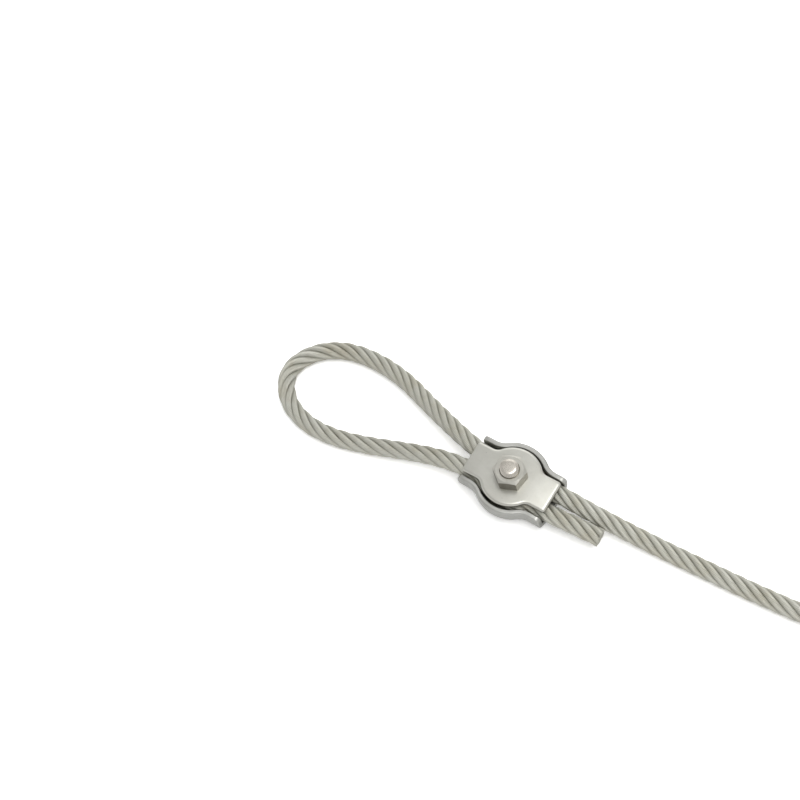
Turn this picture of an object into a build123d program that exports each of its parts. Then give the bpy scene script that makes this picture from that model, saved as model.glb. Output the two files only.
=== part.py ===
# Simplex wire rope clip, clamped on a wire rope that it closes into an eye.
#
# A pressed channel lies on a bolt's low round head. The rope passes through the channel
# twice, once on each side of the bolt, and a flat cover plate under a hexagon nut presses
# both strands down. The channel's walls and the plate's edges bulge in the middle, where
# the strands part to go round the bolt.
#
# Frame: the bolt's axis is Z, its head stands on Z = 0, and X runs along the channel
# towards the rope's live end. All lengths are millimetres.
import math
import os

from build123d import *

# Rope
rope_diameter = 5.0
strand_gap = 0.5
live_strand_splay = 0.37
dead_strand_splay = 0.1
bolt_to_rope_gap = 0.2

# Channel
body_length = 25.5
body_sheet = 1.5
body_sweep_radius = 6.5
foot_bend_radius = 1.8
bulge_to_rope_gap = 1.2
wall_to_rope_gap = 0.45
floor_to_rope_gap = 0.05
rim_above_rope = 0.0
rim_corner_radius = 1.6
rim_edge_bevel = 0.3

# Cover plate, which lies a little askew on the channel
cover_sheet = 1.2
cover_turn = 1.75
cover_end_gap = 0.15
cover_side_gap = 1.0
cover_bulge_gap = 0.5
cover_sweep_radius = 2.5
cover_corner_radius = 0.6
cover_upper_round = 0.4
cover_lower_bevel = 0.12
cover_to_rope_gap = 0.1
bolt_hole_gap = 0.25

# Bolt. The hexagon and the neck follow the thread's size.
thread_size = 5.0
thread_crest_gap = 0.1
bolt_length = 14.3
bolt_tip_chamfer = 0.6
head_diameter = 10.5
head_height = 1.7
head_flat_diameter = 6.4
head_rim_height = 0.7
neck_height = 1.1
neck_gap = 0.1

# Nut
nut_height = 4.5
nut_bore_gap = 0.05
nut_seat_gap = 0.02
nut_sides = 6
nut_corner_angle = 22.95
nut_chamfer_angle = 30.0

# Shares: of the thread's size, of the half width across the flats, of a run of the rope's
# route, and of the channel's length for the rope's stations inside it
across_flats_share = 1.6
countersink_share = 1.16
chamfer_start_share = 0.95
arc_share = 0.45
mouth_share = 0.53
parting_share = 0.3
rounding_share = 0.12

# How far a cutting tool runs past what it cuts
overrun = 2.0

# Diameters and heights worked out from the sizes above
rope_radius = rope_diameter / 2
bolt_diameter = thread_size - thread_crest_gap
nut_across_flats = thread_size * across_flats_share
countersink_diameter = thread_size * countersink_share
channel_bottom = head_height
channel_floor = channel_bottom + body_sheet
rope_height = channel_floor + floor_to_rope_gap + rope_radius
rim_height = channel_floor + rope_diameter + rim_above_rope
cover_bottom = rope_height + rope_radius + cover_to_rope_gap
cover_top = cover_bottom + cover_sheet
nut_bottom = cover_top + nut_seat_gap

# Widths worked out from the sizes above
strand_offset = (rope_diameter + strand_gap) / 2
bend_offset = bolt_diameter / 2 + bolt_to_rope_gap + rope_radius
channel_half_width = strand_offset + rope_radius + wall_to_rope_gap
channel_bulge_radius = bend_offset + rope_radius + bulge_to_rope_gap
cover_length = body_length - 2 * cover_end_gap
cover_half_width = channel_half_width - cover_side_gap
cover_bulge_radius = channel_bulge_radius - cover_bulge_gap

# The rope's free route, hand-laid from the photograph: beside the live rope to the cut end,
# round the eye, and out along the live rope. The lowest points lie on the ground.
ground = rope_radius
dead_end_route = [(28.1, -2.15, 5.3), (21.2, -2.35, 5.6)]
eye_route = [
    (-22.4, -4.3, 4.9),
    (-31.6, -7.1, 3.6),
    (-40.8, -10.3, 2.6),
    (-50.1, -13.1, ground),
    (-59.9, -13.7, ground),
    (-69.0, -10.4, ground),
    (-74.3, -2.7, ground),
    (-70.6, 6.0, ground),
    (-62.5, 11.2, ground),
    (-52.6, 12.5, ground),
    (-42.6, 11.5, 2.6),
    (-32.8, 8.4, 3.5),
    (-23.1, 5.5, 4.9),
]
live_end_route = [
    (20.4, 3.3, 5.35),
    (30.9, 3.9, 3.7),
    (42.9, 4.6, ground),
    (56.9, 5.5, ground),
    (71.8, 6.6, ground),
    (85.8, 8.2, ground),
    (97.7, 10.2, ground),
]


def bulged_outline(length, half_width, bulge_radius, sweep_radius):
    """A strip along X that swells to a round middle, swept in to it at its four corners."""
    plan = Rectangle(length, 2 * half_width) + Circle(bulge_radius)
    inner_corners = [v for v in plan.vertices() if abs(v.X) < length / 2 - sweep_radius / 2]
    return fillet(inner_corners, sweep_radius)


def channel_prism(extra, bottom, top, edge_radius):
    """The channel's room, or its outside where extra is the sheet, with rounded feet."""
    plan = bulged_outline(
        body_length + 2 * overrun,
        channel_half_width + extra,
        channel_bulge_radius + extra,
        body_sweep_radius - extra,
    )
    prism = Pos(0, 0, bottom) * extrude(plan, top - bottom)
    at_end = body_length / 2 + overrun
    feet = [
        e
        for e in prism.edges().group_by(Axis.Z)[0]
        if abs(abs(e.center().X) - at_end) > rim_edge_bevel
    ]
    return fillet(feet, edge_radius)


def make_clip_body():
    outside = channel_prism(
        body_sheet, channel_bottom, rim_height, foot_bend_radius + body_sheet
    )
    room = channel_prism(0, channel_floor, rim_height + overrun, foot_bend_radius)
    reach = 4 * channel_bulge_radius
    cut_to_length = Pos(0, 0, channel_bottom) * Box(
        body_length, reach, reach, align=(Align.CENTER, Align.CENTER, Align.MIN)
    )
    hole_width = thread_size + 2 * neck_gap
    neck_hole = Pos(0, 0, channel_bottom) * Box(hole_width, hole_width, 2 * (body_sheet + overrun))
    body = (outside - room) & cut_to_length
    body = body - neck_hole
    rim_corners = [
        e
        for e in body.edges().filter_by(Axis.Y)
        if e.center().Z > rim_height - rim_edge_bevel
    ]
    body = fillet(rim_corners, rim_corner_radius)
    across_wall = body.edges().filter_by(Axis.Y)
    rims = [
        e
        for e in body.edges()
        if e.center().Z > rim_height - rim_corner_radius and e not in across_wall
    ]
    return chamfer(rims, rim_edge_bevel)


def make_cover_plate():
    plan = bulged_outline(cover_length, cover_half_width, cover_bulge_radius, cover_sweep_radius)
    tab_corners = [v for v in plan.vertices() if abs(v.X) > cover_length / 2 - cover_lower_bevel]
    plan = fillet(tab_corners, cover_corner_radius)
    plate = Pos(0, 0, cover_bottom) * extrude(plan, cover_sheet)
    plate = fillet(plate.edges().group_by(Axis.Z)[-1], cover_upper_round)
    plate = chamfer(plate.edges().group_by(Axis.Z)[0], cover_lower_bevel)
    hole = Cylinder(bolt_diameter / 2 + bolt_hole_gap, 4 * cover_sheet)
    return Rot(0, 0, cover_turn) * (plate - Pos(0, 0, cover_bottom) * hole)


def make_bolt():
    """Low round head, square neck in the channel's floor, and a shank with a bevelled end."""
    shank_radius = bolt_diameter / 2
    tip = head_height + bolt_length
    dome_start = (head_flat_diameter / 2, 0)
    dome_end = (head_diameter / 2, head_height - head_rim_height)
    dome = TangentArc(dome_start, dome_end, tangent=(1, 0))
    rest = Polyline(
        dome_end,
        (head_diameter / 2, head_height),
        (shank_radius, head_height),
        (shank_radius, tip - bolt_tip_chamfer),
        (shank_radius - bolt_tip_chamfer, tip),
        (0, tip),
        (0, 0),
        dome_start,
    )
    profile = Plane.XZ * make_face(dome + rest)
    turned = revolve(profile, Axis.Z)
    neck = Pos(0, 0, head_height) * Box(
        thread_size, thread_size, neck_height, align=(Align.CENTER, Align.CENTER, Align.MIN)
    )
    return turned + neck


def make_hex_nut():
    """Hexagon nut, bevelled on both faces, with a countersunk bore."""
    half_width = nut_across_flats / 2
    corner_radius = half_width / math.cos(math.pi / nut_sides)
    bevel_radius = half_width * chamfer_start_share
    bevel_height = (corner_radius - bevel_radius) * math.tan(math.radians(nut_chamfer_angle))
    bore_radius = bolt_diameter / 2 + nut_bore_gap
    sink_radius = countersink_diameter / 2
    sink_depth = sink_radius - bore_radius
    hexagon = RegularPolygon(corner_radius, nut_sides, rotation=nut_corner_angle)
    blank = extrude(hexagon, nut_height)
    section = Polyline(
        (bore_radius, sink_depth),
        (sink_radius, 0),
        (bevel_radius, 0),
        (corner_radius, bevel_height),
        (corner_radius, nut_height - bevel_height),
        (bevel_radius, nut_height),
        (sink_radius, nut_height),
        (bore_radius, nut_height - sink_depth),
        close=True,
    )
    turned = revolve(Plane.XZ * make_face(section), Axis.Z)
    return Pos(0, 0, nut_bottom) * (blank & turned)


def inside_channel(side, direction, splay):
    """The rope's points between the channel's mouths, on one side of the bolt."""
    mouth = body_length * mouth_share
    parting = body_length * parting_share
    rounding = body_length * rounding_share
    stations = [
        (-mouth, strand_offset + splay),
        (-parting, strand_offset),
        (-rounding, bend_offset),
        (rounding, bend_offset),
        (parting, strand_offset),
        (mouth, strand_offset + splay),
    ]
    return [(x, side * y, rope_height) for x, y in stations[::direction]]


def rope_route():
    return (
        dead_end_route
        + inside_channel(-1, -1, dead_strand_splay)
        + eye_route
        + inside_channel(1, 1, live_strand_splay)
        + live_end_route
    )


def bend_radii(points):
    """Each corner's arc takes 0.45 of its shorter run on both sides."""
    radii = []
    for before, here, after in zip(points, points[1:], points[2:]):
        run_in, run_out = Vector(here) - Vector(before), Vector(after) - Vector(here)
        half_turn = math.radians(run_in.get_angle(run_out)) / 2
        shorter = min(run_in.length, run_out.length)
        radii.append(arc_share * shorter / math.tan(half_turn))
    return radii


def make_wire_rope():
    points = rope_route()
    radii = bend_radii(points)
    path = FilletPolyline(*points, radius=radii)
    section = Plane(origin=path @ 0, z_dir=path % 0) * Circle(rope_radius)
    rope = sweep(section, path=path)
    true_volume = path.length * math.pi * rope_radius**2
    print("rope bend radii:", [round(r, 1) for r in radii])
    print("rope length:", round(path.length, 1))
    print("rope volume over section times length:", round(rope.volume / true_volume, 4))
    return rope


parts = {
    "clip_body": make_clip_body(),
    "cover_plate": make_cover_plate(),
    "bolt": make_bolt(),
    "hex_nut": make_hex_nut(),
    "wire_rope": make_wire_rope(),
}

os.makedirs("parts", exist_ok=True)
for name, shape in parts.items():
    export_step(shape, f"parts/{name}.step")
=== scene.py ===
# A simplex wire rope clip on a stainless steel wire rope, dressed for a studio photograph.
#
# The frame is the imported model's: the bolt's axis is Z, its head stands on Z = 0, and X runs
# along the channel towards the rope's live end. All lengths are metres, apart from those of
# the channel and the cover plate, which are built in millimetres.
import math
import random

import bmesh
import bpy
from mathutils import Matrix, Vector


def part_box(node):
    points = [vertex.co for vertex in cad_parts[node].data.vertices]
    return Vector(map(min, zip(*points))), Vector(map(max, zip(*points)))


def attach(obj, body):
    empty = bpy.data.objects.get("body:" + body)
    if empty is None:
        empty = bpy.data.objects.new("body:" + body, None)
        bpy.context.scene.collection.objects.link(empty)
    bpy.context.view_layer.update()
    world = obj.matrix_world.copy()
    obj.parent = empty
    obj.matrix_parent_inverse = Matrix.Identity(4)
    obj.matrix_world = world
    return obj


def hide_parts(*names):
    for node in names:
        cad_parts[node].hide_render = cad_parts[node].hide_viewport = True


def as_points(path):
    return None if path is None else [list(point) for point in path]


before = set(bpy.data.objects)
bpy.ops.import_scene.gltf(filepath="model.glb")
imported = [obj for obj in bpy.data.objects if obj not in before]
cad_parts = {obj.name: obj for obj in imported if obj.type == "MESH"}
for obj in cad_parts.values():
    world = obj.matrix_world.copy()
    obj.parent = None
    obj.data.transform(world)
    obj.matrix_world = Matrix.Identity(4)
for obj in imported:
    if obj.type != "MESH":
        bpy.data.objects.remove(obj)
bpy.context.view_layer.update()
scene = bpy.context.scene
random.seed(5)

# Sizes

FULL_TURN = 2 * math.pi
MILLIMETRE = 0.001

# Rope: six strands of nineteen wires round a core, right-hand lay
ROPE_DIAMETER = 0.005
ROPE_LAY = 0.0242
STRAND_COUNT = 6
STRAND_RADIUS = 0.00093
STRAND_PHASE = 0.35

# How far the strands have gone round, in turns, at distances along the rope: the lay opens a
# little round the eye
LAY_MARKS = [
    (0.0, -0.025),
    (0.055, 2.194),
    (0.095, 3.792),
    (0.135, 5.41),
    (0.155, 6.226),
    (0.215, 8.681),
    (0.255, 10.412),
    (0.3, 12.343),
]
WIRE_TWIST = 0.0102
OUTER_WIRES = 12
INNER_WIRES = 6
WIRE_RADIUS = 0.00021
WIRE_RING_RADIUS = STRAND_RADIUS - WIRE_RADIUS
RING_STEP = 0.0007
CORE_RADIUS = 0.0007
STRAND_RING_RADIUS = ROPE_DIAMETER / 2 - STRAND_RADIUS
LAY_RISE = FULL_TURN * STRAND_RING_RADIUS / ROPE_LAY

# The rope's cut ends: how far the strands stop short of the route, and their wires' ends
END_TRIM = 0.0002
CUT_WIRE_RADIUS = 0.000172
CUT_WIRE_BEVEL = 0.00004
CUT_WIRE_ROOT = 0.0001
CUT_WIRE_REACH = (0.00002, 0.00014)
INNER_RING_SHARE = 0.5

# Channel, in millimetres: its half width and its radii are those of its inside
SHEET = 1.5
HALF_LENGTH = 12.75
HALF_WIDTH = 5.7
BULGE = 8.85
SWEEP = 6.5
FOOT = 1.8
CHANNEL_BOTTOM = 1.7
CHANNEL_FLOOR = 3.2
RIM = 8.2
RIM_CORNER = 1.6
NECK_HOLE = 2.6

# Cover plate, in millimetres
PLATE_TURN = math.radians(1.75)
PLATE_HALF_LENGTH = 12.6
PLATE_HALF_WIDTH = 4.7
PLATE_BULGE = 8.35
PLATE_SWEEP = 2.5
PLATE_CORNER = 0.9
PLATE_BOTTOM = 8.35
PLATE_TOP = 9.55
PLATE_HOLE = 2.7

# Thread of the bolt and the nut
PITCH = 0.0008
BOLT_CREST_RADIUS = 0.00244
BOLT_ROOT_RADIUS = 0.00203
NUT_CREST_RADIUS = 0.00211
NUT_ROOT_RADIUS = 0.00252
THREAD_STEPS = 96

# Bolt: its square neck, its low round head and its tip
NECK_HALF_WIDTH = 0.0025
NECK_TOP = 0.0028
HEAD_HEIGHT = 0.0017
HEAD_FLAT_RADIUS = 0.0032
HEAD_RIM = 0.0007
HEAD_EDGE = 0.0001
TIP_BEVEL = 0.0003
TIP_DOME = 0.00018
TIP_SLOPE = 1.25
THREAD_BOTTOM = 0.0033

# Nut
NUT_SIDES = 6
NUT_ACROSS_FLATS = 0.008
NUT_CORNER_ANGLE = math.radians(22.95)
NUT_BEVEL_START = 0.0037
NUT_SINK_RADIUS = 0.0027
NUT_BEVEL_SLOPE = math.tan(math.radians(30))

# What the frame gives
bolt_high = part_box("bolt")[1]
nut_low, nut_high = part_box("hex_nut")
HEAD_RADIUS = bolt_high.x
BOLT_TIP = bolt_high.z

# Camera

CAMERA_ELEVATION = math.radians(63.53)
CAMERA_AZIMUTH = math.radians(52.37)
CAMERA_ROLL = math.radians(-20.37)
CAMERA_DISTANCE = 0.41625
CAMERA_TARGET = Vector((-0.041726, 0.006419, 0))
SENSOR_WIDTH = 36
LENS = 67.05


def add_camera():
    level = math.cos(CAMERA_ELEVATION)
    back = Vector(
        (
            math.sin(CAMERA_AZIMUTH) * level,
            -math.cos(CAMERA_AZIMUTH) * level,
            math.sin(CAMERA_ELEVATION),
        )
    )
    right = Vector((math.cos(CAMERA_AZIMUTH), math.sin(CAMERA_AZIMUTH), 0))
    up = back.cross(right)
    turned_right = right * math.cos(CAMERA_ROLL) + up * math.sin(CAMERA_ROLL)
    turned_up = up * math.cos(CAMERA_ROLL) - right * math.sin(CAMERA_ROLL)
    data = bpy.data.cameras.new("camera")
    data.sensor_width = SENSOR_WIDTH
    data.lens = LENS
    camera = bpy.data.objects.new("camera", data)
    scene.collection.objects.link(camera)
    turn = Matrix((turned_right, turned_up, back)).transposed().to_4x4()
    camera.matrix_world = Matrix.Translation(CAMERA_TARGET + back * CAMERA_DISTANCE) @ turn
    scene.camera = camera


add_camera()

# Rope's line

# From the cut end, through the channel, round the eye, and through the channel again to the
# live end
DEAD_END_ROUTE = [(0.0281, -0.00165, 0.0053), (0.0212, -0.00215, 0.0056)]
DEAD_STRAND_ROUTE = [
    (0.013515, -0.00285, 0.00575),
    (0.00765, -0.00275, 0.00575),
    (0.00306, -0.00515, 0.00575),
    (-0.00306, -0.00515, 0.00575),
    (-0.00765, -0.00275, 0.00575),
    (-0.013515, -0.00285, 0.00575),
]
EYE_ROUTE = [
    (-0.0224, -0.0043, 0.0049),
    (-0.0316, -0.0071, 0.0036),
    (-0.0408, -0.0103, 0.0026),
    (-0.0501, -0.0131, 0.0025),
    (-0.0599, -0.0137, 0.0025),
    (-0.069, -0.0104, 0.0025),
    (-0.0743, -0.0027, 0.0025),
    (-0.0706, 0.006, 0.0025),
    (-0.0625, 0.0112, 0.0025),
    (-0.0526, 0.0125, 0.0025),
    (-0.0426, 0.0115, 0.0026),
    (-0.0328, 0.0084, 0.0035),
    (-0.0231, 0.0055, 0.0049),
]
LIVE_STRAND_ROUTE = [
    (-0.013515, 0.00312, 0.00575),
    (-0.00765, 0.00275, 0.00575),
    (-0.00306, 0.00515, 0.00575),
    (0.00306, 0.00515, 0.00575),
    (0.00765, 0.00275, 0.00575),
    (0.013515, 0.00312, 0.00575),
]
LIVE_END_ROUTE = [
    (0.0204, 0.0031, 0.00535),
    (0.0309, 0.00375, 0.0037),
    (0.0429, 0.0046, 0.0025),
    (0.0569, 0.0055, 0.0025),
    (0.0718, 0.0066, 0.0025),
    (0.0858, 0.0082, 0.0025),
    (0.0977, 0.0102, 0.0025),
]
ROPE_ROUTE = DEAD_END_ROUTE + DEAD_STRAND_ROUTE + EYE_ROUTE + LIVE_STRAND_ROUTE + LIVE_END_ROUTE
LINE_RESOLUTION = 16


def smooth_line(route):
    """The points of a NURBS spline that has the route's points as its control points."""
    curve = bpy.data.curves.new("rope_line", "CURVE")
    curve.dimensions = "3D"
    spline = curve.splines.new("NURBS")
    spline.points.add(len(route) - 1)
    for point, place in zip(spline.points, route):
        point.co = (*place, 1)
    spline.order_u = 3
    spline.use_endpoint_u = True
    spline.resolution_u = LINE_RESOLUTION
    holder = bpy.data.objects.new("rope_line", curve)
    scene.collection.objects.link(holder)
    bpy.context.view_layer.update()
    mesh = bpy.data.meshes.new_from_object(holder)
    line = [v.co.copy() for v in mesh.vertices]
    bpy.data.objects.remove(holder)
    bpy.data.meshes.remove(mesh)
    return line


def even_steps(line, step):
    """Points at even distances along the line, and that distance."""
    total = sum((b - a).length for a, b in zip(line, line[1:]))
    count = round(total / step)
    gap = total / count
    points, walked, wanted = [line[0]], 0, gap
    for a, b in zip(line, line[1:]):
        run = (b - a).length
        while wanted <= walked + run and len(points) < count:
            points.append(a.lerp(b, (wanted - walked) / run))
            wanted += gap
        walked += run
    return points + [line[-1]], gap


def turning_frames(points):
    """Tangent and two cross directions at each point, carried along without twist."""
    tangents = []
    for i in range(len(points)):
        before, after = points[max(i - 1, 0)], points[min(i + 1, len(points) - 1)]
        tangents.append((after - before).normalized())
    up = Vector((0, 0, 1))
    across = (up - tangents[0] * up.dot(tangents[0])).normalized()
    frames = [(tangents[0], across, tangents[0].cross(across))]
    for here, ahead in zip(tangents, tangents[1:]):
        across = here.rotation_difference(ahead) @ across
        across = (across - ahead * across.dot(ahead)).normalized()
        frames.append((ahead, across, ahead.cross(across)))
    return frames


rope_line = smooth_line(ROPE_ROUTE)
rope_points, rope_step = even_steps(rope_line, RING_STEP)
rope_frames = turning_frames(rope_points)

# Mesh helpers

# Edges that turn more than this stay sharp
PLATE_SHARP = math.radians(35)
STRAND_SHARP = math.radians(50)
CORE_SHARP = math.radians(40)
CUT_WIRE_SHARP = math.radians(30)
BOLT_SHARP = math.radians(30)
NUT_SHARP = math.radians(25)


def add_piece(name, mesh, body, material, node):
    """The mesh as a piece that rides on a body and stands for a node."""
    piece = bpy.data.objects.new(name, mesh)
    scene.collection.objects.link(piece)
    mesh.materials.append(material)
    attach(piece, body)
    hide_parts(node)
    return piece


def shade(mesh, sharp_angle):
    """Smooth faces, with the edges that turn more than the angle kept sharp."""
    mesh.shade_smooth()
    edit = bmesh.new()
    edit.from_mesh(mesh)
    bmesh.ops.recalc_face_normals(edit, faces=edit.faces)
    for edge in edit.edges:
        if len(edge.link_faces) == 2:
            edge.smooth = edge.calc_face_angle(0) < sharp_angle
    edit.to_mesh(mesh)
    edit.free()


def paint(mesh, name, values):
    """A number for each vertex, which the material reads by name."""
    layer = mesh.attributes.new(name, "FLOAT", "POINT")
    layer.data.foreach_set("value", values)


def bridge(edit, low, high):
    """Faces between two closed rings of as many vertices."""
    for i in range(len(low)):
        k = (i + 1) % len(low)
        edit.faces.new((low[i], low[k], high[k], high[i]))


def circle(edit, radius, height, steps, start):
    """Vertices at even steps round Z."""
    angles = [start + FULL_TURN * i / steps for i in range(steps)]
    return [edit.verts.new((radius * math.cos(a), radius * math.sin(a), height)) for a in angles]


# Materials

# How fine the steel's patterns are, in waves a metre
CLOUD_SCALE = 260
GRAIN_SCALE = 5200
SPECK_SCALE = 1900
DENT_SCALE = 420
WIRE_CLOUD_SCALE = 150
WIRE_STREAK_SCALE = 900
WIRE_GRAIN_SCALE = 4200

# How sharp and how dark the specks are, and how deep the wires' own grain is
SPECK_EDGE = 0.05
SPECK_SHADE = 0.6
WIRE_GRAIN_DEPTH = 0.000006


def ramp_color(tree, value, stops):
    """A colour, or a level of grey, for each value, straight between the stops."""
    ramp = tree.nodes.new("ShaderNodeValToRGB")
    marks = ramp.color_ramp.elements
    while len(marks) < len(stops):
        marks.new(0.5)
    for mark, (place, color) in zip(marks, stops):
        mark.position = place
        mark.color = (*color, 1) if isinstance(color, tuple) else (color, color, color, 1)
    tree.links.new(value, ramp.inputs["Fac"])
    return ramp.outputs["Color"]


class Nodes:
    """Short calls to add the nodes of one material and join them."""

    def __init__(self, name):
        self.material = bpy.data.materials.new(name)
        self.material.use_nodes = True
        self.tree = self.material.node_tree
        self.shader = self.tree.nodes["Principled BSDF"]

    def add(self, kind, **inputs):
        node = self.tree.nodes.new(kind)
        for key, value in inputs.items():
            self.put(node, key.replace("_", " "), value)
        return node

    def put(self, node, key, value):
        socket = node.inputs[key]
        if isinstance(value, bpy.types.NodeSocket):
            self.tree.links.new(value, socket)
        else:
            socket.default_value = value

    def places(self, stretch=(1, 1, 1)):
        coordinates = self.add("ShaderNodeTexCoord")
        mapping = self.add("ShaderNodeMapping", Scale=stretch)
        self.tree.links.new(coordinates.outputs["Object"], mapping.inputs["Vector"])
        return mapping.outputs["Vector"]

    def noise(self, places, scale, detail, roughness):
        node = self.add(
            "ShaderNodeTexNoise", Vector=places, Scale=scale, Detail=detail, Roughness=roughness
        )
        return node.outputs["Fac"]

    def ramp(self, value, stops):
        return ramp_color(self.tree, value, stops)

    def mix(self, amount, color, second):
        """The colour mixed by the amount with a second one, given as three numbers."""
        node = self.tree.nodes.new("ShaderNodeMix")
        node.data_type = "RGBA"
        factor, first, other = node.inputs[0], node.inputs[6], node.inputs[7]
        self.tree.links.new(amount, factor)
        self.tree.links.new(color, first)
        other.default_value = (*second, 1)
        return node.outputs[2]

    def square_from_axis(self, places, scale):
        """The square of the distance from Z, times a scale."""
        square = self.tree.nodes.new("ShaderNodeVectorMath")
        square.operation = "DOT_PRODUCT"
        flat = self.add("ShaderNodeVectorMath")
        flat.operation = "MULTIPLY"
        self.tree.links.new(places, flat.inputs[0])
        flat.inputs[1].default_value = (1, 1, 0)
        self.tree.links.new(flat.outputs[0], square.inputs[0])
        self.tree.links.new(flat.outputs[0], square.inputs[1])
        scaled = self.tree.nodes.new("ShaderNodeMath")
        scaled.operation = "MULTIPLY"
        self.tree.links.new(square.outputs["Value"], scaled.inputs[0])
        scaled.inputs[1].default_value = scale
        return scaled.outputs[0]

    def painted(self, name):
        node = self.tree.nodes.new("ShaderNodeAttribute")
        node.attribute_name = name
        return node.outputs["Fac"]

    def bump(self, height, distance, onto=None):
        node = self.add("ShaderNodeBump", Height=height, Distance=distance, Strength=1.0)
        if onto:
            self.tree.links.new(onto, node.inputs["Normal"])
        return node.outputs["Normal"]

    def finish(self, color, roughness, normal):
        self.put(self.shader, "Base Color", color)
        self.put(self.shader, "Roughness", roughness)
        self.put(self.shader, "Metallic", 1.0)
        self.put(self.shader, "Normal", normal)
        return self.material


def steel(
    name,
    colors,
    roughness,
    speck_start,
    grain_depth,
    dent_depth,
    grain=(1, 1, 1),
    crown=0,
    painted_shade=None,
):
    """Stainless steel with fine grain, soft cloudy colour, small dark specks and shallow dents.

    colors and roughness go from low to high. speck_start is the noise level that specks begin
    at, and grain stretches the grain. crown bends the surface's shading down away from the bolt,
    as a clamped plate bends. The last argument is the colour of painted shade, laid where the
    mesh is marked for it.
    """
    dark, light = colors
    n = Nodes(name)
    places = n.places()
    clouds = n.noise(places, CLOUD_SCALE, detail=4, roughness=0.6)
    fine = n.noise(n.places(grain), GRAIN_SCALE, detail=3, roughness=0.6)
    color = n.ramp(clouds, [(0.32, dark), (0.7, light)])
    speckle = n.noise(places, SPECK_SCALE, detail=2, roughness=0.5)
    spots = n.ramp(speckle, [(speck_start, 0.0), (speck_start + SPECK_EDGE, 1.0)])
    color = n.mix(spots, color, tuple(SPECK_SHADE * c for c in dark))
    # Painted shade: where the mesh is marked, the colour goes towards the given dark one
    if painted_shade:
        color = n.mix(n.painted("painted_shade"), color, painted_shade)
    sheen = n.ramp(fine, [(0.3, roughness[0]), (0.75, roughness[1])])
    normal = n.bump(n.noise(places, DENT_SCALE, detail=2, roughness=0.4), dent_depth)
    if crown:
        normal = n.bump(n.square_from_axis(places, -crown), 1.0, onto=normal)
    normal = n.bump(fine, grain_depth, onto=normal)
    return n.finish(color, sheen, normal)


def rope_steel():
    """Drawn wire: grey, greener and browner in places, and with painted shade in the grooves."""
    n = Nodes("rope_wire_steel")
    places = n.places()
    clouds = n.noise(places, WIRE_CLOUD_SCALE, detail=3, roughness=0.6)
    color = n.ramp(
        clouds,
        [(0.3, (0.57, 0.55, 0.465)), (0.5, (0.63, 0.625, 0.558)), (0.72, (0.675, 0.675, 0.622))],
    )
    streaks = n.noise(places, WIRE_STREAK_SCALE, detail=3, roughness=0.6)
    color = n.mix(n.ramp(streaks, [(0.35, 0.2), (0.62, 0.0)]), color, (0.36, 0.34, 0.28))
    groove_shade = n.painted("groove_shade")
    # Painted shade: darker the deeper a point lies in a groove
    color = n.mix(n.ramp(groove_shade, [(0.1, 0.0), (1.0, 0.4)]), color, (0.22, 0.215, 0.18))
    roughness = n.ramp(streaks, [(0.3, 0.48), (0.7, 0.62)])
    normal = n.bump(n.noise(places, WIRE_GRAIN_SCALE, detail=2, roughness=0.5), WIRE_GRAIN_DEPTH)
    return n.finish(color, roughness, normal)


# The cover plate's steel darkens its edge's side and the foot of its bolt hole with painted shade
plate_steel = steel(
    "cover_plate_steel",
    colors=((0.6, 0.595, 0.54), (0.67, 0.665, 0.61)),
    roughness=(0.3, 0.42),
    speck_start=0.72,
    grain_depth=0.000003,
    dent_depth=0.00001,
    crown=3.2,
    painted_shade=(0.2, 0.19, 0.155),
)
pressed_steel = steel(
    "clip_body_steel",
    colors=((0.45, 0.45, 0.42), (0.55, 0.55, 0.52)),
    roughness=(0.38, 0.52),
    speck_start=0.71,
    grain_depth=0.000005,
    dent_depth=0.00002,
)
bolt_steel = steel(
    "bolt_steel",
    colors=((0.6, 0.565, 0.5), (0.76, 0.72, 0.65)),
    roughness=(0.24, 0.36),
    speck_start=0.7,
    grain_depth=0.000005,
    dent_depth=0.00001,
)
nut_steel = steel(
    "hex_nut_steel",
    colors=((0.52, 0.51, 0.46), (0.64, 0.63, 0.57)),
    roughness=(0.28, 0.42),
    speck_start=0.71,
    grain_depth=0.000004,
    dent_depth=0.00001,
)
# The nut's flats: the nut's steel painted much darker, a painted shade for the dark room that the
# flats mirror
nut_flat_shaded_steel = steel(
    "hex_nut_flat_shaded_steel",
    colors=((0.14, 0.13, 0.105), (0.21, 0.195, 0.165)),
    roughness=(0.3, 0.45),
    speck_start=0.72,
    grain_depth=0.000008,
    dent_depth=0.00002,
    grain=(1, 1, 0.3),
)
rope_wire = rope_steel()

# Channel and cover plate, built in millimetres

# The rounding of the rims' outer edges, and of their inner edges and the ends as shares of it
RIM_ROUND = 0.7
RIM_INSIDE_SHARE = 0.5
END_SHARE = 0.4
ROUND_STEPS = 4
FOOT_STEPS = 6
CORNER_STEPS = 6
SWEEP_STEPS = 9
BULGE_STEPS = (6, 8)
LAST_COLUMN = 0.8

# How far past the neck's hole a vertex may lie and still count as at its edge
NEAR = 1e-3

# How far below the rim the wall's first row of points lies, and lower at the ends
ROW_BELOW_RIM = 0.9
END_ROW_BELOW_CORNER = 0.7


def arc_stations(centre, radius, start, end, steps, outward):
    """Points of an arc with their normals, without the first; outward is 1 or -1."""
    stations = []
    for i in range(1, steps + 1):
        angle = start + (end - start) * i / steps
        way = Vector((math.cos(angle), math.sin(angle)))
        stations.append((Vector(centre) + way * radius, way * outward))
    return stations


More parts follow.
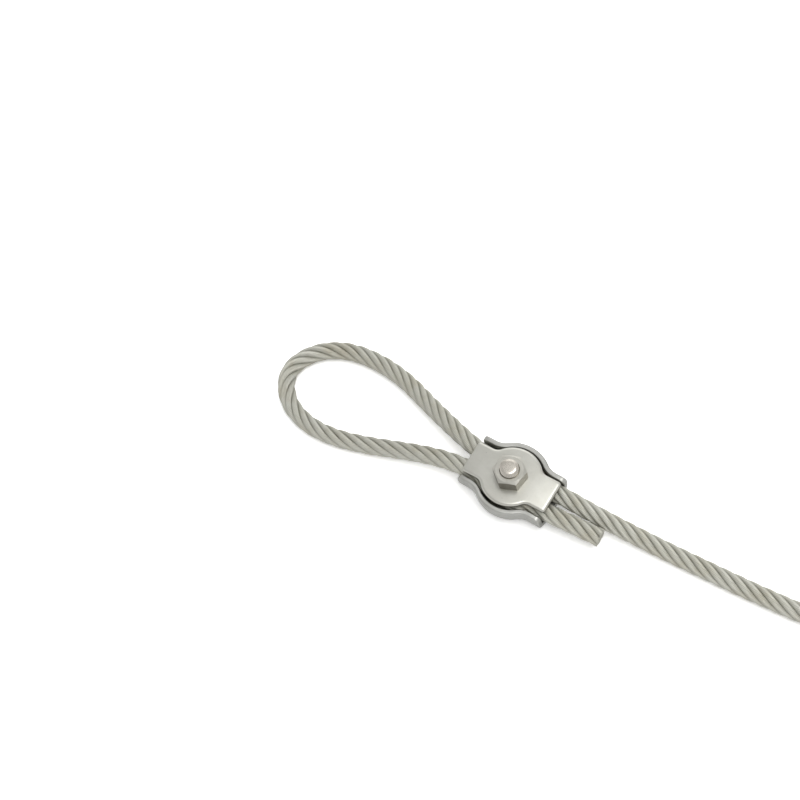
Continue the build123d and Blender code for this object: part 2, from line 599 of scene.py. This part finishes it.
def bulged_half(straight, half_width, bulge, sweep, bulge_stops):
    """The outline's +Y side from its +X end to its -X end: points with outward normals.

    straight gives the places along X from the end to the sweep. bulge_stops are angles that the
    round middle must have a station at, each with the number of steps up to it.
    """
    rise = half_width + sweep
    centre = Vector((math.sqrt((bulge + sweep) ** 2 - rise**2), rise))
    meets = math.atan2(centre.y, centre.x)
    right = [(Vector((x, half_width)), Vector((0, 1))) for x in [*straight, centre.x]]
    right += arc_stations(centre, sweep, 1.5 * math.pi, math.pi + meets, SWEEP_STEPS, -1)
    here = meets
    for stop, steps in bulge_stops:
        right += arc_stations((0, 0), bulge, here, stop, steps, 1)
        here = stop
    left = [(Vector((-p.x, p.y)), Vector((-n.x, n.y))) for p, n in right[-2::-1]]
    return right + left


def body_loop(place, normal, rim, below):
    """The channel's whole section at one station, from one rim down, across and up, and back.

    rim and below are the x and z of the rim and of the first row of points below it.
    """
    angles = [math.pi / 2 * i / FOOT_STEPS for i in range(FOOT_STEPS + 1)]
    foot_z = CHANNEL_FLOOR + FOOT

    def at(out, z):
        return (place.x + normal.x * out, place.y + normal.y * out, z)

    inside = [at(-FOOT + FOOT * math.cos(a), foot_z - FOOT * math.sin(a)) for a in angles]
    outer = FOOT + SHEET
    outside = [at(-FOOT + outer * math.cos(a), foot_z - outer * math.sin(a)) for a in angles]
    wall_in = [(x, place.y, z) for x, z in (rim, below)]
    wall_out = [(x + normal.x * SHEET, y + normal.y * SHEET, z) for x, y, z in wall_in]
    middle_x = inside[-1][0]
    upper = [*wall_in, *inside, (middle_x, NECK_HOLE, CHANNEL_FLOOR)]
    lower = [*wall_out, *outside, (middle_x, NECK_HOLE, CHANNEL_BOTTOM)]
    mirrored = [[(x, -y, z) for x, y, z in reversed(side)] for side in (upper, lower)]
    return upper + mirrored[0] + (lower + mirrored[1])[::-1]


def rounded(mesh_name, edit, weights):
    """The mesh, in metres, with each edge rounded by its weight's share of RIM_ROUND."""
    layer = edit.edges.layers.float["bevel_weight_edge"]
    for edge, weight in weights.items():
        edge[layer] = weight
    bmesh.ops.recalc_face_normals(edit, faces=edit.faces)
    mesh = bpy.data.meshes.new(mesh_name)
    edit.to_mesh(mesh)
    edit.free()
    mesh.shade_smooth()
    holder = bpy.data.objects.new(mesh_name, mesh)
    scene.collection.objects.link(holder)
    bevel = holder.modifiers.new("rounding", "BEVEL")
    bevel.limit_method = "WEIGHT"
    bevel.width = RIM_ROUND
    bevel.segments = ROUND_STEPS
    bevel.use_clamp_overlap = False
    bevel.harden_normals = True
    bevel.loop_slide = False
    depsgraph = bpy.context.evaluated_depsgraph_get()
    ready = bpy.data.meshes.new_from_object(holder.evaluated_get(depsgraph))
    bpy.data.objects.remove(holder)
    ready.transform(Matrix.Scale(MILLIMETRE, 4))
    ready.name = mesh_name
    return ready


def make_pressed_body():
    arc_start = HALF_LENGTH - RIM_CORNER
    corner_low = [
        arc_start + (RIM_CORNER - LAST_COLUMN) * i / (CORNER_STEPS - 1) for i in range(CORNER_STEPS)
    ]
    straight = [HALF_LENGTH, *corner_low[::-1]]
    hole_angle = math.acos(NECK_HOLE / (BULGE - FOOT))
    bulge_stops = [*zip((hole_angle, math.pi / 2), BULGE_STEPS)]
    stations = bulged_half(straight, HALF_WIDTH, BULGE, SWEEP, bulge_stops)

    # The rim's round corner, from the channel's end: X and Z of the rim and of the row below it
    corners = []
    for i in range(CORNER_STEPS + 1):
        turn = math.pi / 2 * (1 - i / CORNER_STEPS)
        way = Vector((math.sin(turn), math.cos(turn)))
        centre = Vector((arc_start, RIM - RIM_CORNER))
        corners.append((centre + way * RIM_CORNER, centre + way * (RIM_CORNER - ROW_BELOW_RIM)))
    corners[0] = (corners[0][0], corners[0][0] - Vector((0, END_ROW_BELOW_CORNER)))
    edit = bmesh.new()
    edit.edges.layers.float.new("bevel_weight_edge")
    loops = []
    for i, (place, normal) in enumerate(stations):
        from_end = min(i, len(stations) - 1 - i)
        rows = ((place.x, RIM), (place.x, RIM - ROW_BELOW_RIM))
        if from_end <= CORNER_STEPS:
            rows = [(math.copysign(x, place.x), z) for x, z in corners[from_end]]
        loops.append([edit.verts.new(v) for v in body_loop(place, normal, *rows)])
    count = len(loops[0])
    half = count // 2
    quarter = count // 4
    across_hole = (quarter - 1, 3 * quarter - 1)
    in_hole = [abs(loop[quarter - 1].co.x) < NECK_HOLE + NEAR for loop in loops]
    for i, (here, there) in enumerate(zip(loops, loops[1:])):
        for j in range(count):
            k = (j + 1) % count
            if j in across_hole and in_hole[i] and in_hole[i + 1]:
                continue
            edit.faces.new((here[j], here[k], there[k], there[j]))
        if in_hole[i] and in_hole[i + 1]:
            for a, b in ((quarter - 1, 3 * quarter), (quarter, 3 * quarter - 1)):
                edit.faces.new((here[a], here[b], there[b], there[a]))
    hole_ends = [loop for loop, inside in zip(loops, in_hole) if inside]
    for loop in (hole_ends[0], hole_ends[-1]):
        edit.faces.new([loop[j] for j in (quarter - 1, quarter, 3 * quarter - 1, 3 * quarter)])
    for loop in (loops[0], loops[-1]):
        for j in range(half - 1):
            edit.faces.new((loop[j], loop[j + 1], loop[count - 2 - j], loop[count - 1 - j]))
    rims = [(0, RIM_INSIDE_SHARE), (half - 1, RIM_INSIDE_SHARE), (half, 1), (count - 1, 1)]
    weights = {}
    for i, (here, there) in enumerate(zip(loops, loops[1:])):
        from_end = min(i, len(loops) - 2 - i)
        into_corner = max(0.0, 1 - from_end / CORNER_STEPS)
        for j, full in rims:
            weight = full + (END_SHARE - full) * into_corner
            weights[edit.edges.get((here[j], there[j]))] = weight
    for loop in (loops[0], loops[-1]):
        for j in range(count):
            if j not in (half - 1, count - 1):
                weights[edit.edges.get((loop[j], loop[(j + 1) % count]))] = END_SHARE
    mesh = rounded("pressed_body", edit, weights)
    return add_piece("pressed_body", mesh, "clip", pressed_steel, "clip_body")


# The plate's upper edge is rounded over a width and a height, its lower edge is bevelled, and
# a narrow flat band lies inside both
PLATE_ROUND = (0.78, 0.6)
PLATE_ROUND_STEPS = 6
PLATE_UNDER_BEVEL = 0.3
UNDER_BEVEL_STEP = 0.09
PLATE_FLAT_BAND = 0.1
PLATE_CORNER_STEPS = 6
PLATE_BULGE_STEPS = 24
HOLE_STEPS = 48

# How much painted shade each ring of the plate's edge gets, from its underside up: most on the
# side, over the dark gap by the channel's wall
PLATE_PAINTED_SHADE = (0.3, 0.6, 1.0, 1.0, 0.7, 0.2, 0.0, 0.0, 0.0, 0.0, 0.0, 0.0)


def make_plate():
    end = PLATE_HALF_LENGTH - PLATE_CORNER
    bulge_stops = [(math.pi / 2, PLATE_BULGE_STEPS)]
    upper = bulged_half([end], PLATE_HALF_WIDTH, PLATE_BULGE, PLATE_SWEEP, bulge_stops)
    corner_y = PLATE_HALF_WIDTH - PLATE_CORNER
    outline = []
    for flip in (1, -1):
        outline += [(p * flip, n * flip) for p, n in upper]
        centre = Vector((-end, corner_y)) * flip
        first = math.pi / 2 if flip == 1 else -math.pi / 2
        second = first + math.pi / 2
        third = first + math.pi
        outline += arc_stations(centre, PLATE_CORNER, first, second, PLATE_CORNER_STEPS, 1)
        centre = Vector((-end, -corner_y)) * flip
        outline.append((centre - Vector((PLATE_CORNER, 0)) * flip, Vector((-flip, 0))))
        outline += arc_stations(centre, PLATE_CORNER, second, third, PLATE_CORNER_STEPS, 1)[:-1]

    # The edge's section: how far in from the outline, and the height
    wide, tall = PLATE_ROUND
    profile = [
        (PLATE_UNDER_BEVEL + PLATE_FLAT_BAND, PLATE_BOTTOM),
        (PLATE_UNDER_BEVEL, PLATE_BOTTOM),
        (UNDER_BEVEL_STEP, PLATE_BOTTOM + UNDER_BEVEL_STEP),
        (0, PLATE_BOTTOM + PLATE_UNDER_BEVEL),
    ]
    for i in range(PLATE_ROUND_STEPS + 1):
        turn = math.pi / 2 * i / PLATE_ROUND_STEPS
        profile.append((wide * (1 - math.cos(turn)), PLATE_TOP - tall * (1 - math.sin(turn))))
    profile.append((wide + PLATE_FLAT_BAND, PLATE_TOP))
    edit = bmesh.new()
    rings = [
        [edit.verts.new((*(place - normal * inward), height)) for place, normal in outline]
        for inward, height in profile
    ]
    holes = [circle(edit, PLATE_HOLE, z, HOLE_STEPS, 0) for z in (PLATE_BOTTOM, PLATE_TOP)]
    for low, high in [*zip(rings, rings[1:]), holes]:
        bridge(edit, low, high)
    for ring, hole in ((rings[0], holes[0]), (rings[-1], holes[1])):
        edges = []
        for loop in (ring, hole):
            edges += [edit.edges.get((loop[i - 1], loop[i])) for i in range(len(loop))]
        bmesh.ops.triangle_fill(edit, use_beauty=True, edges=edges)
    bmesh.ops.recalc_face_normals(edit, faces=edit.faces)
    mesh = bpy.data.meshes.new("pressed_plate")
    edit.to_mesh(mesh)
    edit.free()
    mesh.transform(Matrix.Rotation(PLATE_TURN, 4, "Z") @ Matrix.Scale(MILLIMETRE, 4))
    # Painted shade on the edge's lower rings and at the foot of the bolt hole
    ring_shade = [share for share in PLATE_PAINTED_SHADE for _ in outline]
    hole_shade = [1.0] * HOLE_STEPS + [0.0] * HOLE_STEPS
    paint(mesh, "painted_shade", ring_shade + hole_shade)
    shade(mesh, PLATE_SHARP)
    return add_piece("pressed_plate", mesh, "cover", plate_steel, "cover_plate")


make_pressed_body()
make_plate()

# Rope's strands

# Half the angle from one outer wire to the next, and where a strand's outline has its points
# over each wire, as shares of it
WIRE_SPREAD = math.pi / OUTER_WIRES
WIRE_STATIONS = (-1.0, -0.55, 0.0, 0.55)

# The depth of a groove that is painted fully in shade, and how much painted shade the flutes
# between the wires and the wires' cut ends get
GROOVE_DEPTH = 0.00062
FLUTE_SHADE = 0.3
CUT_WIRE_SHADE = 0.2

# Sides of the core and of each wire's end, and how many of the rope's points lie from one of
# the core's rings to the next
CORE_SIDES = 10
CORE_STEP = 3


def wire_edge(angle):
    """How far from the strand's middle an outer wire reaches at this angle from its own middle."""
    sideways = WIRE_RING_RADIUS * math.sin(angle)
    return WIRE_RING_RADIUS * math.cos(angle) + math.sqrt(max(WIRE_RADIUS**2 - sideways**2, 0))


# A strand's outline: each point's angle, its distance from the strand's middle, and its station
strand_outline = []
for wire in range(OUTER_WIRES):
    for station in WIRE_STATIONS:
        aside = WIRE_SPREAD * station
        strand_outline.append((FULL_TURN * wire / OUTER_WIRES + aside, wire_edge(aside), station))

# A strand keeps within its wedge of the rope's section, seen across the strand, with a trace
# of room to the strands beside it
LAY_COSINE = 1 / math.hypot(1, LAY_RISE)
WEDGE_FILL = 0.995
WEDGE_SLOPE = WEDGE_FILL * math.tan(math.pi / STRAND_COUNT) * LAY_COSINE


def lay_turns(distance):
    """Turns of the strands round the rope up to a distance along it."""
    for (start, before), (end, after) in zip(LAY_MARKS, LAY_MARKS[1:]):
        if distance <= end:
            break
    return before + (after - before) * (distance - start) / (end - start)


def strand_places(strand):
    """Centre, direction, outward and sideways directions of a strand, all along the rope."""
    for i, (point, (along, across, over)) in enumerate(zip(rope_points, rope_frames)):
        turn = FULL_TURN * (lay_turns(i * rope_step) + strand / STRAND_COUNT) + STRAND_PHASE
        outward = across * math.cos(turn) + over * math.sin(turn)
        round_it = over * math.cos(turn) - across * math.sin(turn)
        direction = (along + round_it * LAY_RISE).normalized()
        yield point + outward * STRAND_RING_RADIUS, direction, outward, direction.cross(outward)


def pressed_place(out, side, spare=0.0):
    """A strand's point, kept out of the strands beside it as the laid strands press flat."""
    limit = (STRAND_RING_RADIUS + out) * WEDGE_SLOPE - spare
    return out, min(max(side, -limit), limit)


def at_cut(place, direction, last):
    """The point slid along its strand onto the plane where the rope is cut."""
    end, tangent = rope_points[-1 if last else 0], rope_frames[-1 if last else 0][0]
    plane = end - tangent * END_TRIM if last else end + tangent * END_TRIM
    return place + direction * ((plane - place).dot(tangent) / direction.dot(tangent))


def tube_faces(rings, sides):
    """Faces of a tube with closed ends."""
    faces = []
    for i in range(rings - 1):
        for j in range(sides):
            k = (j + 1) % sides
            faces.append((i * sides + j, i * sides + k, (i + 1) * sides + k, (i + 1) * sides + j))
    faces.append(tuple(range(sides))[::-1])
    faces.append(tuple(range((rings - 1) * sides, rings * sides)))
    return faces


def rope_piece(name, vertices, faces, groove_shade, sharp_angle):
    """A piece of the rope, painted with how much painted shade each vertex gets for lying in a
    groove.
    """
    mesh = bpy.data.meshes.new(name)
    mesh.from_pydata([tuple(v) for v in vertices], [], faces)
    mesh.validate()
    mesh.update()
    piece = add_piece(name, mesh, "clip", rope_wire, "wire_rope")
    paint(mesh, "groove_shade", groove_shade)
    shade(mesh, sharp_angle)
    return piece


def make_strand(number):
    vertices, groove_shade = [], []
    places = list(strand_places(number))
    for i, (centre, direction, outward, sideways) in enumerate(places):
        twist = -FULL_TURN * i * rope_step / WIRE_TWIST
        for angle, reach, station in strand_outline:
            out, side = pressed_place(
                reach * math.cos(angle + twist), reach * math.sin(angle + twist)
            )
            place = centre + outward * out + sideways * side
            if i in (0, len(places) - 1):
                place = at_cut(place, direction, i > 0)
            vertices.append(place)
            from_axis = math.hypot(STRAND_RING_RADIUS + out, side / LAY_COSINE)
            depth = (ROPE_DIAMETER / 2 - from_axis) / GROOVE_DEPTH
            # Painted shade: full at a groove's depth, and some in the flutes between the wires
            groove_shade.append(min(1.0, max(0.0, depth) + FLUTE_SHADE * station**2))
    faces = tube_faces(len(places), len(strand_outline))
    return rope_piece(f"rope_strand_{number + 1}", vertices, faces, groove_shade, STRAND_SHARP)


def make_core():
    vertices = []
    last = len(rope_points) - 1
    rings = [*range(0, last, CORE_STEP), last]
    for i in rings:
        along, across, over = rope_frames[i]
        for j in range(CORE_SIDES):
            turn = FULL_TURN * j / CORE_SIDES
            place = rope_points[i] + (across * math.cos(turn) + over * math.sin(turn)) * CORE_RADIUS
            vertices.append(at_cut(place, along, i == last) if i in (0, last) else place)
    faces = tube_faces(len(rings), CORE_SIDES)
    # The core, deep inside the rope, is painted fully in shade
    return rope_piece("rope_core", vertices, faces, [1.0] * len(vertices), CORE_SHARP)


def wire_places(number, last):
    """Where each wire of a strand ends in the cut, and the strand's three directions there."""
    index = len(rope_points) - 1 if last else 0
    centre, direction, outward, sideways = list(strand_places(number))[index]
    twist = -FULL_TURN * index * rope_step / WIRE_TWIST
    rings = [(1, 0.0), (INNER_WIRES, INNER_RING_SHARE), (OUTER_WIRES, 1.0)]
    for count, share in rings:
        for wire in range(count):
            angle = FULL_TURN * wire / count + twist
            out, side = pressed_place(
                WIRE_RING_RADIUS * share * math.cos(angle),
                WIRE_RING_RADIUS * share * math.sin(angle),
                CUT_WIRE_RADIUS,
            )
            yield centre + outward * out + sideways * side, direction, outward, sideways


def core_wire_places(last):
    """The same for the wires of the core."""
    index = -1 if last else 0
    along, across, over = rope_frames[index]
    yield rope_points[index], along, across, over
    for wire in range(INNER_WIRES):
        angle = FULL_TURN * wire / INNER_WIRES
        aside = across * math.cos(angle) + over * math.sin(angle)
        yield rope_points[index] + aside * WIRE_RING_RADIUS * INNER_RING_SHARE, along, across, over


def make_cut_wires(name, last):
    """The bevelled ends of the rope's wires, which stand a little out of its cut face."""
    places = [place for number in range(STRAND_COUNT) for place in wire_places(number, last)]
    places += core_wire_places(last)
    vertices, faces = [], []
    for centre, direction, outward, sideways in places:
        away = direction if last else -direction
        root = at_cut(centre, direction, last)
        reach = random.uniform(*CUT_WIRE_REACH)
        start = len(vertices)
        levels = [
            (-CUT_WIRE_ROOT, CUT_WIRE_RADIUS),
            (reach - CUT_WIRE_BEVEL, CUT_WIRE_RADIUS),
            (reach, CUT_WIRE_RADIUS - CUT_WIRE_BEVEL),
        ]
        for height, radius in levels:
            for j in range(CORE_SIDES):
                turn = FULL_TURN * j / CORE_SIDES
                aside = outward * math.cos(turn) + sideways * math.sin(turn)
                vertices.append(root + away * height + aside * radius)
        faces += [tuple(start + v for v in face) for face in tube_faces(len(levels), CORE_SIDES)]
    # The wires' cut ends get a little painted shade
    return rope_piece(name, vertices, faces, [CUT_WIRE_SHADE] * len(vertices), CUT_WIRE_SHARP)


strands = [make_strand(number) for number in range(STRAND_COUNT)]
core = make_core()
cut_wires = [
    make_cut_wires("cut_wires_dead_end", last=False),
    make_cut_wires("cut_wires_live_end", last=True),
]
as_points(rope_points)

# Bolt and nut

# A thread's outline over one pitch: height in pitches, and how far from root to crest
THREAD_OUTLINE = [
    (-0.095, 0.9),
    (-0.05, 1.0),
    (0.05, 1.0),
    (0.095, 0.9),
    (0.385, 0.06),
    (0.45, 0.0),
    (0.55, 0.0),
    (0.615, 0.06),
]

# The bolt's rounded tip, as shares of its radius and of its dome's height from the top down
TIP_OUTLINE = [(1, 1), (0.93, 0.45), (0.72, 0.12), (0.35, 0), (0, 0)]

# Points of the head's dome, as shares of its width
DOME_SHARES = (0.2, 0.4, 0.6, 0.8, 1.0)

# Vertices closer than this are one
MERGE = 1e-7

# A face of the nut is a flat where its normal rises less than this
UPRIGHT = 0.1


def thread_surface(bottom, top, radius_at):
    """Vertices and faces of a right-hand thread between two heights.

    radius_at gives the radius at a height for a share from root, 0, to crest, 1.
    """
    rows = len(THREAD_OUTLINE)
    first = math.floor(bottom / PITCH) - 2
    last = math.ceil(top / PITCH) + 1
    heights = []
    for turn in range(first, last):
        heights += [(turn + height, share) for height, share in THREAD_OUTLINE]
    vertices = []
    for step in range(THREAD_STEPS):
        angle = FULL_TURN * step / THREAD_STEPS + NUT_CORNER_ANGLE
        for height, share in heights:
            z = (height + step / THREAD_STEPS) * PITCH
            held = min(max(z, bottom), top)
            radius = radius_at(held, share)
            vertices.append((radius * math.cos(angle), radius * math.sin(angle), held))
    count = len(heights)
    faces = []
    for step in range(THREAD_STEPS):
        following = (step + 1) % THREAD_STEPS
        raised = rows if following == 0 else 0
        for k in range(count - 1 - raised):
            here = step * count + k
            there = following * count + k + raised
            faces.append((here, there, there + 1, here + 1))
    return vertices, faces


def add_mesh(edit, vertices, faces):
    made = [edit.verts.new(v) for v in vertices]
    for face in faces:
        edit.faces.new([made[i] for i in face])


def spin(edit, outline):
    """Rings of an outline of (radius, height) turned round Z, closed at a radius of zero."""
    rings = []
    for radius, height in outline:
        if radius == 0:
            rings.append([edit.verts.new((0, 0, height))])
        else:
            rings.append(circle(edit, radius, height, THREAD_STEPS, NUT_CORNER_ANGLE))
    for low, high in zip(rings, rings[1:]):
        for i in range(THREAD_STEPS):
            k = (i + 1) % THREAD_STEPS
            across_low = [low[i % len(low)], low[k % len(low)]]
            across_high = [high[k % len(high)], high[i % len(high)]]
            edit.faces.new(list(dict.fromkeys(across_low + across_high)))


def threaded_piece(edit, name, body, material, node, sharp_angle):
    """The piece, with its turned and its threaded surfaces joined."""
    bmesh.ops.remove_doubles(edit, verts=edit.verts, dist=MERGE)
    bmesh.ops.dissolve_degenerate(edit, edges=edit.edges, dist=MERGE)
    mesh = bpy.data.meshes.new(name)
    edit.to_mesh(mesh)
    edit.free()
    piece = add_piece(name, mesh, body, material, node)
    shade(mesh, sharp_angle)
    return piece


def make_bolt():
    edit = bmesh.new()
    tip_radius = BOLT_CREST_RADIUS - TIP_BEVEL
    thread_top = BOLT_TIP - TIP_DOME

    def radius_at(z, share):
        thread = BOLT_ROOT_RADIUS + (BOLT_CREST_RADIUS - BOLT_ROOT_RADIUS) * share
        tip_room = tip_radius + (thread_top - z) * TIP_SLOPE
        return min(thread, tip_room) if z > THREAD_BOTTOM else BOLT_ROOT_RADIUS

    add_mesh(edit, *thread_surface(THREAD_BOTTOM, thread_top, radius_at))
    spin(edit, [(tip_radius * wide, BOLT_TIP - TIP_DOME * down) for wide, down in TIP_OUTLINE])
    rim_start = HEAD_HEIGHT - HEAD_RIM
    dome_width = HEAD_RADIUS - HEAD_FLAT_RADIUS
    dome = [(HEAD_FLAT_RADIUS + dome_width * s, rim_start * s**2) for s in DOME_SHARES]
    rim = [(HEAD_RADIUS, HEAD_HEIGHT - HEAD_EDGE), (HEAD_RADIUS - HEAD_EDGE, HEAD_HEIGHT)]
    spin(edit, [(0, 0), (HEAD_FLAT_RADIUS, 0), *dome, *rim, (0, HEAD_HEIGHT)])
    shank = [(BOLT_ROOT_RADIUS, THREAD_BOTTOM), (BOLT_ROOT_RADIUS, HEAD_HEIGHT), (0, HEAD_HEIGHT)]
    spin(edit, shank)
    neck_size = (2 * NECK_HALF_WIDTH, 2 * NECK_HALF_WIDTH, NECK_TOP - HEAD_HEIGHT, 1)
    neck_place = Matrix.Translation((0, 0, (HEAD_HEIGHT + NECK_TOP) / 2))
    bmesh.ops.create_cube(edit, size=1, matrix=neck_place @ Matrix.Diagonal(neck_size))
    return threaded_piece(
        edit, "threaded_bolt", "clip", bolt_steel, "bolt", BOLT_SHARP
    )


def make_nut():
    edit = bmesh.new()
    bottom, top = nut_low.z, nut_high.z

    def radius_at(z, share):
        thread = NUT_ROOT_RADIUS + (NUT_CREST_RADIUS - NUT_ROOT_RADIUS) * share
        sink = NUT_SINK_RADIUS - min(z - bottom, top - z)
        return max(thread, sink)

    add_mesh(edit, *thread_surface(bottom, top, radius_at))
    side = FULL_TURN / NUT_SIDES
    rings = []
    for face_height, inward in ((bottom, 1), (top, -1)):
        sink, bevel, edge = [], [], []
        for i in range(THREAD_STEPS):
            angle = NUT_CORNER_ANGLE + FULL_TURN * i / THREAD_STEPS
            to_flat = (angle - NUT_CORNER_ANGLE) % side - side / 2
            reach = NUT_ACROSS_FLATS / 2 / math.cos(to_flat)
            drop = max(0.0, reach - NUT_BEVEL_START) * NUT_BEVEL_SLOPE
            way = Vector((math.cos(angle), math.sin(angle), 0))
            face_level = Vector((0, 0, face_height))
            edge_level = Vector((0, 0, face_height + inward * drop))
            sink.append(edit.verts.new(way * NUT_SINK_RADIUS + face_level))
            bevel.append(edit.verts.new(way * NUT_BEVEL_START + face_level))
            edge.append(edit.verts.new(way * reach + edge_level))
        rings += [sink, bevel, edge][::inward]
    for low, high in zip(rings, rings[1:]):
        bridge(edit, low, high)
    return threaded_piece(
        edit, "threaded_nut", "nut", nut_steel, "hex_nut", NUT_SHARP
    )


make_bolt()
nut = make_nut()
# The flats get the darker steel of painted shade
nut.data.materials.append(nut_flat_shaded_steel)
for face in nut.data.polygons:
    on_flat = face.center.xy.length > NUT_BEVEL_START and abs(face.normal.z) < UPRIGHT
    face.material_index = 1 if on_flat else 0

# Floor, light and background

FLOOR_SIZE = 3.0

# The paper's colour and glow: as it lights the object, as the camera sees it, so that only the
# shadow's core shows on the white, and as the metal mirrors it
PAPER = (0.8, 0.0)
SEEN_PAPER = (1.7, 0.05)
MIRRORED_PAPER = (0.78, 0.08)

# The room: how bright it is all round, and how much more towards the lit backdrop, by the
# cosine from there. Low down, by the height of the ray, metal sees the white that the camera
# sees behind the object.
ROOM_LEVEL = 0.58
BACKDROP = ((-0.35, 0.72, 0.45), [(0.9, 0.0), (0.955, 0.95)])
HORIZON = [(0.1, 1.0), (0.42, 0.0)]

# The soft box nearly overhead, which is turned to the clip
KEY_PLACE = Vector((0.27, 0.07, 0.95))
KEY_SIZE = 0.6
KEY_POWER = 3.95


def paper_shader(tree, color, glow):
    """Matt paper of one grey, with a glow of its own."""
    diffuse = tree.nodes.new("ShaderNodeBsdfDiffuse")
    diffuse.inputs["Color"].default_value = (color, color, color, 1)
    emission = tree.nodes.new("ShaderNodeEmission")
    emission.inputs["Strength"].default_value = glow
    both = tree.nodes.new("ShaderNodeAddShader")
    tree.links.new(diffuse.outputs[0], both.inputs[0])
    tree.links.new(emission.outputs[0], both.inputs[1])
    return both.outputs[0]


def chosen(tree, factor, first, second):
    """The first shader where the factor is 0, the second where it is 1."""
    mix = tree.nodes.new("ShaderNodeMixShader")
    tree.links.new(factor, mix.inputs[0])
    tree.links.new(first, mix.inputs[1])
    tree.links.new(second, mix.inputs[2])
    return mix.outputs[0]


def combined(tree, operation, first, second):
    """Two values joined by one operation."""
    math_node = tree.nodes.new("ShaderNodeMath")
    math_node.operation = operation
    tree.links.new(first, math_node.inputs[0])
    tree.links.new(second, math_node.inputs[1])
    return math_node.outputs[0]


def add_floor():
    mesh = bpy.data.meshes.new("floor")
    half = FLOOR_SIZE / 2
    corners = [(-half, -half, 0), (half, -half, 0), (half, half, 0), (-half, half, 0)]
    mesh.from_pydata(corners, [], [(0, 1, 2, 3)])
    floor = bpy.data.objects.new("floor", mesh)
    scene.collection.objects.link(floor)
    material = bpy.data.materials.new("floor_paper")
    material.use_nodes = True
    tree = material.node_tree
    tree.nodes.clear()
    output = tree.nodes.new("ShaderNodeOutputMaterial")
    rays = tree.nodes.new("ShaderNodeLightPath").outputs
    seen = combined(tree, "MAXIMUM", rays["Is Camera Ray"], rays["Is Transmission Ray"])
    paper = paper_shader(tree, *PAPER)
    paper = chosen(tree, rays["Is Glossy Ray"], paper, paper_shader(tree, *MIRRORED_PAPER))
    paper = chosen(tree, seen, paper, paper_shader(tree, *SEEN_PAPER))
    tree.links.new(paper, output.inputs["Surface"])
    mesh.materials.append(material)


def add_key_box():
    data = bpy.data.lights.new("key_box", "AREA")
    data.size = KEY_SIZE
    data.energy = KEY_POWER
    light = bpy.data.objects.new("key_box", data)
    scene.collection.objects.link(light)
    light.location = KEY_PLACE
    light.rotation_euler = (-KEY_PLACE).to_track_quat("-Z", "Y").to_euler()


def add_world():
    world = bpy.data.worlds.new("studio")
    world.use_nodes = True
    scene.world = world
    tree = world.node_tree
    tree.nodes.clear()
    output = tree.nodes.new("ShaderNodeOutputWorld")
    way = tree.nodes.new("ShaderNodeTexCoord").outputs["Generated"]
    direction, stops = BACKDROP
    cosine = tree.nodes.new("ShaderNodeVectorMath")
    cosine.operation = "DOT_PRODUCT"
    tree.links.new(way, cosine.inputs[0])
    cosine.inputs[1].default_value = Vector(direction).normalized()
    levels = [(place, level + ROOM_LEVEL) for place, level in stops]
    towards = ramp_color(tree, cosine.outputs["Value"], levels)
    room = tree.nodes.new("ShaderNodeBackground")
    tree.links.new(towards, room.inputs["Color"])
    white = tree.nodes.new("ShaderNodeBackground")
    white.inputs["Color"].default_value = (1, 1, 1, 1)
    rays = tree.nodes.new("ShaderNodeLightPath").outputs
    height = tree.nodes.new("ShaderNodeSeparateXYZ")
    tree.links.new(way, height.inputs[0])
    low = ramp_color(tree, height.outputs["Z"], HORIZON)
    mirrored = combined(tree, "MULTIPLY", rays["Is Glossy Ray"], low)
    seen = combined(tree, "MAXIMUM", rays["Is Camera Ray"], rays["Is Transmission Ray"])
    seen = combined(tree, "MAXIMUM", seen, mirrored)
    surface = chosen(tree, seen, room.outputs[0], white.outputs[0])
    tree.links.new(surface, output.inputs["Surface"])


add_floor()
add_world()
add_key_box()

scene.view_settings.view_transform = "Standard"
